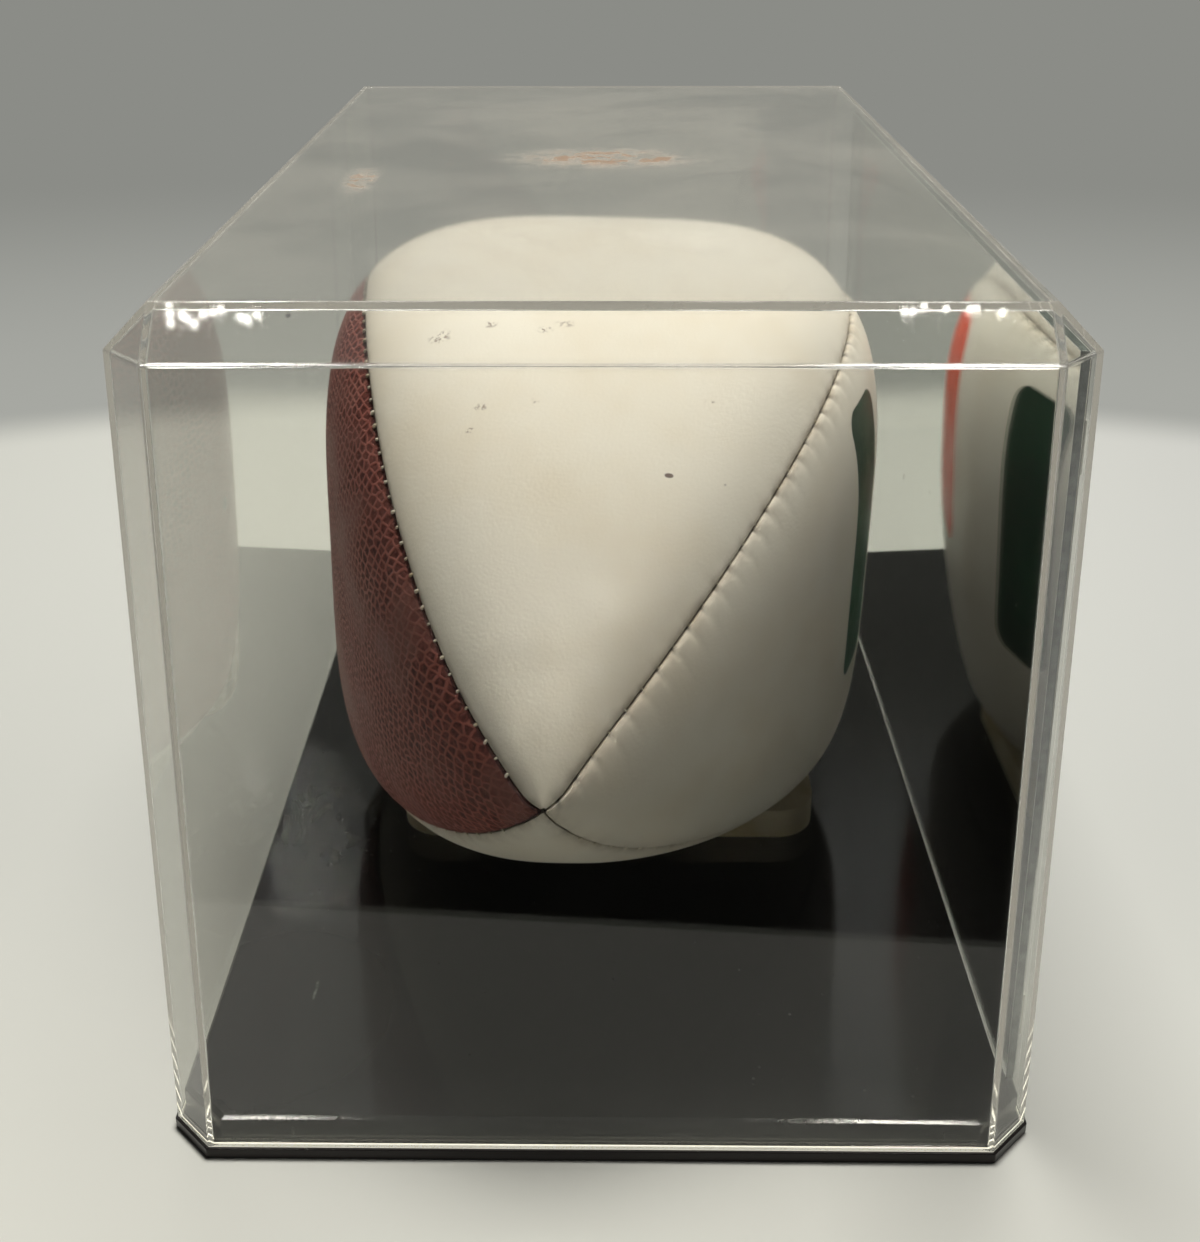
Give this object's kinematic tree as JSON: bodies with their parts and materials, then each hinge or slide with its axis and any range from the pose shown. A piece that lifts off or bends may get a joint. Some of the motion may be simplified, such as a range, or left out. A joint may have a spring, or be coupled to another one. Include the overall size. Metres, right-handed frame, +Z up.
{
  "type": "football display case",
  "caption": "Clear lift-off cover with bevelled edges on a black base, a mirror along one long wall, and a leather football on a low cradle inside.",
  "frame": {"origin": "the middle of the base's underside, on the surface that the case stands on", "axes": "+X to the mirrored wall, +Y to the back end, +Z up; the case is seen from its short end, at -Y"},
  "size_m": [0.211, 0.335, 0.21],
  "materials": {
    "black_base": "glossy black moulding with fine scratches and dust",
    "cream_cradle": "matt cream",
    "clear_acrylic": "clear polished acrylic, lightly smudged",
    "mirror_sheet": "clear polished acrylic sheet with a pale sawn edge",
    "mirror_coat": "silvered and painted back",
    "tape": "double-sided adhesive tape",
    "cream_leather": "smooth cream leather, faintly grained",
    "brown_leather": "pebbled brown leather",
    "lining_cloth": "woven cotton backing",
    "bladder_rubber": "matt black rubber",
    "valve_rubber": "black rubber",
    "lace_cord": "flat white lace"
  },
  "bodies": {
    "base": {"base_tray": "black_base", "ball_cradle": "cream_cradle"},
    "cover": {"clear_cover": "clear_acrylic", "mirror_sheet": "mirror_sheet", "mirror_coat": "mirror_coat", "mirror_tapes": "tape"},
    "football": {"top_panel": "cream_leather", "left_panel": "brown_leather", "bottom_panel": "cream_leather", "right_panel": "cream_leather", "top_lining": "lining_cloth", "left_lining": "lining_cloth", "bottom_lining": "lining_cloth", "right_lining": "lining_cloth", "bladder": "bladder_rubber", "air_valve": "valve_rubber", "lace_strand": "lace_cord", "lace_rungs": "lace_cord"}
  },
  "joints": [
    {"name": "cover_lift", "type": "slide", "parent": "base", "child": "cover", "axis": [0, 0, 1], "range_m": [0, 0.3]},
    {"name": "football_lift", "type": "slide", "parent": "base", "child": "football", "axis": [0, 0, 1], "range_m": [0, 0.012]}
  ]
}
